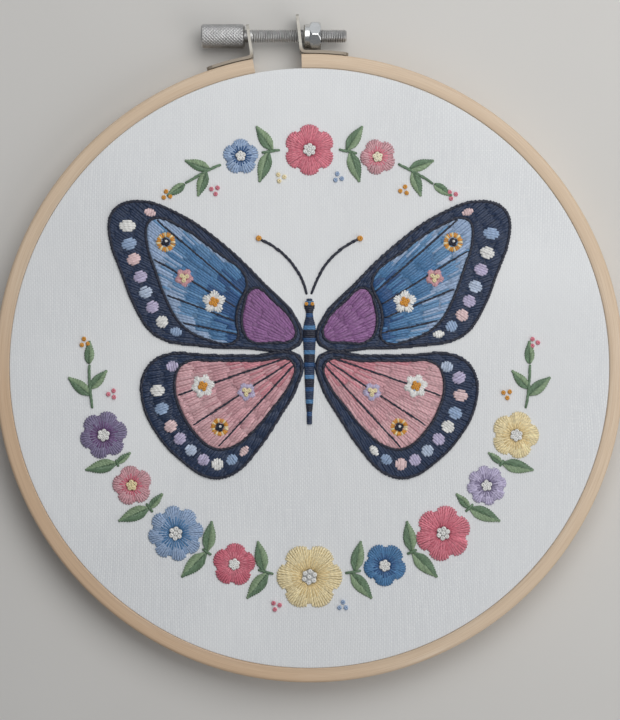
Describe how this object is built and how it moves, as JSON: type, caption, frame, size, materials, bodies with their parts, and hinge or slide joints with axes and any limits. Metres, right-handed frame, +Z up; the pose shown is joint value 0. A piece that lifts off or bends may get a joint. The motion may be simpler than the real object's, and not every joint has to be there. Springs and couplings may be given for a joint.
{
  "type": "hoop embroidery art, stitched cloth in a wooden hoop",
  "caption": "Round of white cloth stitched with a butterfly over a flower garland, stretched in a two-ring wooden hoop with a knurled thumbscrew, lying face up.",
  "frame": {"origin": "bottom centre of the whole part's box, on the surface that the hoop lies on; the rings' centre is 5.2 mm below it on the Y axis", "axes": "+Z up out of the stitched face, +Y up the picture towards the thumbscrew, +X to the picture's right"},
  "size_m": [0.16, 0.1704, 0.0103],
  "materials": {
    "wood": "smooth sanded, pale, bare",
    "cloth": "plain-weave cotton, cool white",
    "steel": "dull plated steel",
    "nut_steel": "bright plated steel",
    "thread_navy": "stranded cotton stitches, satin sheen",
    "thread_blue": "stranded cotton stitches, satin sheen",
    "thread_purple": "stranded cotton stitches, satin sheen",
    "thread_pink": "stranded cotton stitches, satin sheen",
    "thread_yellow": "stranded cotton stitches, satin sheen",
    "thread_rose": "stranded cotton stitches, satin sheen",
    "thread_coral": "stranded cotton stitches, satin sheen",
    "thread_periwinkle": "stranded cotton stitches, satin sheen",
    "thread_dusty_pink": "stranded cotton stitches, satin sheen",
    "thread_lilac": "stranded cotton stitches, satin sheen",
    "thread_plum_grey": "stranded cotton stitches, satin sheen",
    "thread_green": "stranded cotton stitches, satin sheen"
  },
  "bodies": {
    "hoop": {"antenna_left": "thread_navy", "antenna_right": "thread_navy", "butterfly_body": "thread_navy", "cloth": "cloth", "flower_bottom": "thread_yellow", "flower_bottom_left": "thread_rose", "flower_bottom_right": "thread_blue", "flower_high_left": "thread_plum_grey", "flower_high_right": "thread_yellow", "flower_left": "thread_dusty_pink", "flower_low_left": "thread_periwinkle", "flower_low_right": "thread_coral", "flower_right": "thread_lilac", "flower_top": "thread_coral", "flower_top_left": "thread_periwinkle", "flower_top_right": "thread_dusty_pink", "forewing_border_left": "thread_navy", "forewing_border_right": "thread_navy", "forewing_field_left": "thread_blue", "forewing_field_right": "thread_blue", "forewing_root_left": "thread_purple", "forewing_root_right": "thread_purple", "hindwing_border_left": "thread_navy", "hindwing_border_right": "thread_navy", "hindwing_field_left": "thread_pink", "hindwing_field_right": "thread_pink", "inner_ring": "wood", "lug_left": "steel", "lug_right": "steel", "nail_left": "steel", "nail_right": "steel", "nut": "nut_steel", "outer_ring": "wood", "twig_bottom_left": "thread_green", "twig_bottom_right": "thread_green", "twig_end_left": "thread_green", "twig_end_right": "thread_green", "twig_high_left": "thread_green", "twig_high_right": "thread_green", "twig_low_left": "thread_green", "twig_low_right": "thread_green", "twig_mid_left": "thread_green", "twig_mid_right": "thread_green", "twig_top_end_left": "thread_green", "twig_top_end_right": "thread_green", "twig_top_left": "thread_green", "twig_top_right": "thread_green"},
    "thumbscrew": {"thumbscrew": "steel"}
  },
  "joints": [
    {"name": "thumbscrew_turn", "type": "hinge", "parent": "hoop", "child": "thumbscrew", "pos_m": [0, 0.0798, 0.00475], "axis": [1, 0, 0], "range_deg": [-180, 180]}
  ]
}
